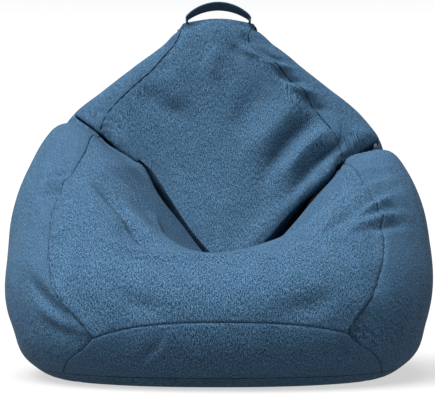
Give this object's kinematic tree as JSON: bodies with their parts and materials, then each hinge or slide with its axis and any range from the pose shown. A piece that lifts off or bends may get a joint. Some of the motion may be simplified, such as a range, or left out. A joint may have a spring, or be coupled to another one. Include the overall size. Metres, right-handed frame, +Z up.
{
  "type": "bean bag chair",
  "caption": "Pear-shaped bean bag chair with a pressed-in bucket seat, tall soft backrest, rounded arms, rear zip and a strap handle at the top.",
  "frame": {"origin": "middle of the bag's footprint, on the floor", "axes": "+X to the sitter's left, -Y to the front, where the sitter's legs go, +Z up"},
  "size_m": [0.9499, 0.9291, 0.8836],
  "materials": {
    "woven_cover": "heathered blue plain weave, matt",
    "handle_strap": "the cover's weave, folded and topstitched",
    "zip_tape": "navy woven tape",
    "zip_coil": "navy nylon coil",
    "zip_metal": "nickel-plated cast zinc",
    "liner_cloth": "off-white non-woven cloth",
    "liner_tape": "off-white zip tape and coil",
    "bead_foam": "expanded foam beads"
  },
  "bodies": {
    "cover": {"front_panel": "woven_cover", "lower_front_panel": "woven_cover", "left_side_panel": "woven_cover", "right_side_panel": "woven_cover", "back_panel_left": "woven_cover", "back_panel_right": "woven_cover", "base_panel": "woven_cover", "zip_tape_left": "zip_tape", "zip_tape_right": "zip_tape", "zip_coil_left": "zip_coil", "zip_coil_right": "zip_coil", "zip_top_stop": "zip_metal", "zip_bottom_stop": "zip_metal", "liner_left_half": "liner_cloth", "liner_right_half": "liner_cloth", "liner_base": "liner_cloth", "liner_zip_tape_left": "liner_tape", "liner_zip_tape_right": "liner_tape", "liner_zip_coil_left": "liner_tape", "liner_zip_coil_right": "liner_tape", "liner_zip_top_stop": "zip_metal", "liner_zip_bottom_stop": "zip_metal", "bead_filling": "bead_foam"},
    "zip_slider": {"zip_slider": "zip_metal"},
    "zip_pull": {"zip_pull": "zip_metal"},
    "liner_zip_slider": {"liner_zip_slider": "zip_metal"},
    "carry_handle": {"carry_handle": "handle_strap"}
  },
  "joints": [
    {"name": "zip_slider_travel", "type": "hinge", "parent": "cover", "child": "zip_slider", "pos_m": [0, -0.635, 0.24], "axis": [1, 0, 0], "range_deg": [-28.79, 0]},
    {"name": "zip_pull_swing", "type": "hinge", "parent": "zip_slider", "child": "zip_pull", "pos_m": [0, 0.37867, 0.68001], "axis": [1, 0, 0], "range_deg": [0, 150]},
    {"name": "liner_zip_slider_travel", "type": "hinge", "parent": "cover", "child": "liner_zip_slider", "pos_m": [0, -0.635, 0.24], "axis": [1, 0, 0], "range_deg": [-12.54, 0]},
    {"name": "handle_flop", "type": "hinge", "parent": "cover", "child": "carry_handle", "pos_m": [0, 0.272, 0.8414], "axis": [1, 0, 0], "range_deg": [-30, 60], "stiffness_Nm_per_rad": 0.05}
  ]
}
